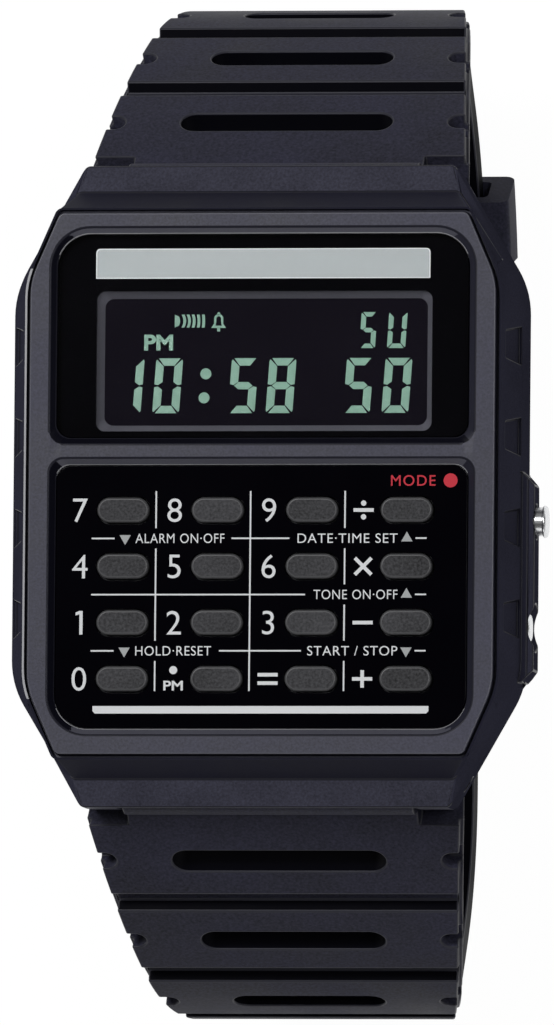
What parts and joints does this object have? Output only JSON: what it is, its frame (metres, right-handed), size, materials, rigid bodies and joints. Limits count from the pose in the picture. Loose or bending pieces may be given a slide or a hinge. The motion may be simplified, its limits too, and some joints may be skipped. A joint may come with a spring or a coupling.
{
  "type": "calculator watch",
  "caption": "Digital wristwatch with a calculator keypad, in a squared resin case on a vented resin strap with a tongue buckle.",
  "frame": {"origin": "on the flat outer face of the buckle frame that the watch stands on, under the centre of the case", "axes": "+Z out of the face, +Y to 12 o'clock, +X to 3 o'clock"},
  "size_m": [0.0361, 0.0686, 0.0491],
  "materials": {
    "case_resin": "satin moulded resin",
    "strap_resin": "matt moulded resin",
    "window": "clear polished",
    "mask_ink": "black print",
    "frame_grey": "satin dark grey",
    "display_cell": "dark display glass",
    "rubber_black": "matt",
    "holder_plastic": "matt",
    "board": "satin lacquer",
    "chip": "matt",
    "steel": "fine brushed",
    "cell_metal": "satin",
    "buzzer_brass": "satin",
    "keypad_print": "black print under a clear film",
    "key_plastic": "gloss black"
  },
  "bodies": {
    "case": {"adjust_button_gasket": "rubber_black", "adjust_button_spring": "steel", "battery": "cell_metal", "battery_clip": "steel", "buzzer": "buzzer_brass", "buzzer_contact": "steel", "case": "case_resin", "case_back": "steel", "case_back_gasket": "rubber_black", "case_back_screws": "steel", "circuit_board": "board", "control_chip": "chip", "display_mask": "mask_ink", "display_window": "window", "key_sheet": "rubber_black", "keypad_panel": "keypad_print", "lcd_connectors": "rubber_black", "lcd_frame": "frame_grey", "lcd_panel": "display_cell", "mode_button_gasket": "rubber_black", "mode_button_spring": "steel", "module_frame": "holder_plastic", "quartz_crystal": "steel", "spring_bar_lower": "steel", "spring_bar_upper": "steel"},
    "mode_button": {"mode_button": "steel", "mode_button_clip": "steel"},
    "adjust_button": {"adjust_button": "steel", "adjust_button_clip": "steel"},
    "strap_upper": {"strap_upper": "strap_resin", "buckle_pin": "steel"},
    "strap_lower": {"strap_lower": "strap_resin"},
    "keeper": {"keeper": "strap_resin"},
    "buckle": {"buckle_frame": "steel"},
    "tongue": {"buckle_tongue": "steel"},
    "key_seven": {"key_seven": "key_plastic"},
    "key_eight": {"key_eight": "key_plastic"},
    "key_nine": {"key_nine": "key_plastic"},
    "key_divide": {"key_divide": "key_plastic"},
    "key_four": {"key_four": "key_plastic"},
    "key_five": {"key_five": "key_plastic"},
    "key_six": {"key_six": "key_plastic"},
    "key_times": {"key_times": "key_plastic"},
    "key_one": {"key_one": "key_plastic"},
    "key_two": {"key_two": "key_plastic"},
    "key_three": {"key_three": "key_plastic"},
    "key_minus": {"key_minus": "key_plastic"},
    "key_zero": {"key_zero": "key_plastic"},
    "key_point": {"key_point": "key_plastic"},
    "key_equals": {"key_equals": "key_plastic"},
    "key_plus": {"key_plus": "key_plastic"}
  },
  "joints": [
    {"name": "key_seven_press", "type": "slide", "parent": "case", "child": "key_seven", "axis": [0, 0, -1], "range_m": [0, 0.0004], "stiffness_N_per_m": 600, "springref_m": -0.0001, "deforming": ["key_sheet"]},
    {"name": "key_eight_press", "type": "slide", "parent": "case", "child": "key_eight", "axis": [0, 0, -1], "range_m": [0, 0.0004], "stiffness_N_per_m": 600, "springref_m": -0.0001, "deforming": ["key_sheet"]},
    {"name": "key_nine_press", "type": "slide", "parent": "case", "child": "key_nine", "axis": [0, 0, -1], "range_m": [0, 0.0004], "stiffness_N_per_m": 600, "springref_m": -0.0001, "deforming": ["key_sheet"]},
    {"name": "key_divide_press", "type": "slide", "parent": "case", "child": "key_divide", "axis": [0, 0, -1], "range_m": [0, 0.0004], "stiffness_N_per_m": 600, "springref_m": -0.0001, "deforming": ["key_sheet"]},
    {"name": "key_four_press", "type": "slide", "parent": "case", "child": "key_four", "axis": [0, 0, -1], "range_m": [0, 0.0004], "stiffness_N_per_m": 600, "springref_m": -0.0001, "deforming": ["key_sheet"]},
    {"name": "key_five_press", "type": "slide", "parent": "case", "child": "key_five", "axis": [0, 0, -1], "range_m": [0, 0.0004], "stiffness_N_per_m": 600, "springref_m": -0.0001, "deforming": ["key_sheet"]},
    {"name": "key_six_press", "type": "slide", "parent": "case", "child": "key_six", "axis": [0, 0, -1], "range_m": [0, 0.0004], "stiffness_N_per_m": 600, "springref_m": -0.0001, "deforming": ["key_sheet"]},
    {"name": "key_times_press", "type": "slide", "parent": "case", "child": "key_times", "axis": [0, 0, -1], "range_m": [0, 0.0004], "stiffness_N_per_m": 600, "springref_m": -0.0001, "deforming": ["key_sheet"]},
    {"name": "key_one_press", "type": "slide", "parent": "case", "child": "key_one", "axis": [0, 0, -1], "range_m": [0, 0.0004], "stiffness_N_per_m": 600, "springref_m": -0.0001, "deforming": ["key_sheet"]},
    {"name": "key_two_press", "type": "slide", "parent": "case", "child": "key_two", "axis": [0, 0, -1], "range_m": [0, 0.0004], "stiffness_N_per_m": 600, "springref_m": -0.0001, "deforming": ["key_sheet"]},
    {"name": "key_three_press", "type": "slide", "parent": "case", "child": "key_three", "axis": [0, 0, -1], "range_m": [0, 0.0004], "stiffness_N_per_m": 600, "springref_m": -0.0001, "deforming": ["key_sheet"]},
    {"name": "key_minus_press", "type": "slide", "parent": "case", "child": "key_minus", "axis": [0, 0, -1], "range_m": [0, 0.0004], "stiffness_N_per_m": 600, "springref_m": -0.0001, "deforming": ["key_sheet"]},
    {"name": "key_zero_press", "type": "slide", "parent": "case", "child": "key_zero", "axis": [0, 0, -1], "range_m": [0, 0.0004], "stiffness_N_per_m": 600, "springref_m": -0.0001, "deforming": ["key_sheet"]},
    {"name": "key_point_press", "type": "slide", "parent": "case", "child": "key_point", "axis": [0, 0, -1], "range_m": [0, 0.0004], "stiffness_N_per_m": 600, "springref_m": -0.0001, "deforming": ["key_sheet"]},
    {"name": "key_equals_press", "type": "slide", "parent": "case", "child": "key_equals", "axis": [0, 0, -1], "range_m": [0, 0.0004], "stiffness_N_per_m": 600, "springref_m": -0.0001, "deforming": ["key_sheet"]},
    {"name": "key_plus_press", "type": "slide", "parent": "case", "child": "key_plus", "axis": [0, 0, -1], "range_m": [0, 0.0004], "stiffness_N_per_m": 600, "springref_m": -0.0001, "deforming": ["key_sheet"]},
    {"name": "mode_button_press", "type": "slide", "parent": "case", "child": "mode_button", "axis": [-1, 0, 0], "range_m": [0, 0.0005], "stiffness_N_per_m": 700, "springref_m": -0.0002, "deforming": ["mode_button_spring"]},
    {"name": "adjust_button_press", "type": "slide", "parent": "case", "child": "adjust_button", "axis": [-1, 0, 0], "range_m": [0, 0.0005], "stiffness_N_per_m": 700, "springref_m": -0.0002, "deforming": ["adjust_button_spring"]},
    {"name": "strap_upper_turn", "type": "hinge", "parent": "case", "child": "strap_upper", "pos_m": [0, 0.0198, 0.04378], "axis": [1, 0, 0], "range_deg": [0, 45]},
    {"name": "strap_lower_turn", "type": "hinge", "parent": "case", "child": "strap_lower", "pos_m": [0, -0.0198, 0.04378], "axis": [1, 0, 0], "range_deg": [0, 22]},
    {"name": "buckle_turn", "type": "hinge", "parent": "strap_upper", "child": "buckle", "pos_m": [0, 0.0056, 0.0018], "axis": [1, 0, 0], "range_deg": [0, 65]},
    {"name": "tongue_turn", "type": "hinge", "parent": "buckle", "child": "tongue", "pos_m": [0, 0.0056, 0.0018], "axis": [1, 0, 0], "range_deg": [0, 45]},
    {"name": "keeper_slide", "type": "hinge", "parent": "strap_upper", "child": "keeper", "pos_m": [0, 0.01409, 0.0211], "axis": [1, 0, 0], "range_deg": [-2, 8]}
  ]
}
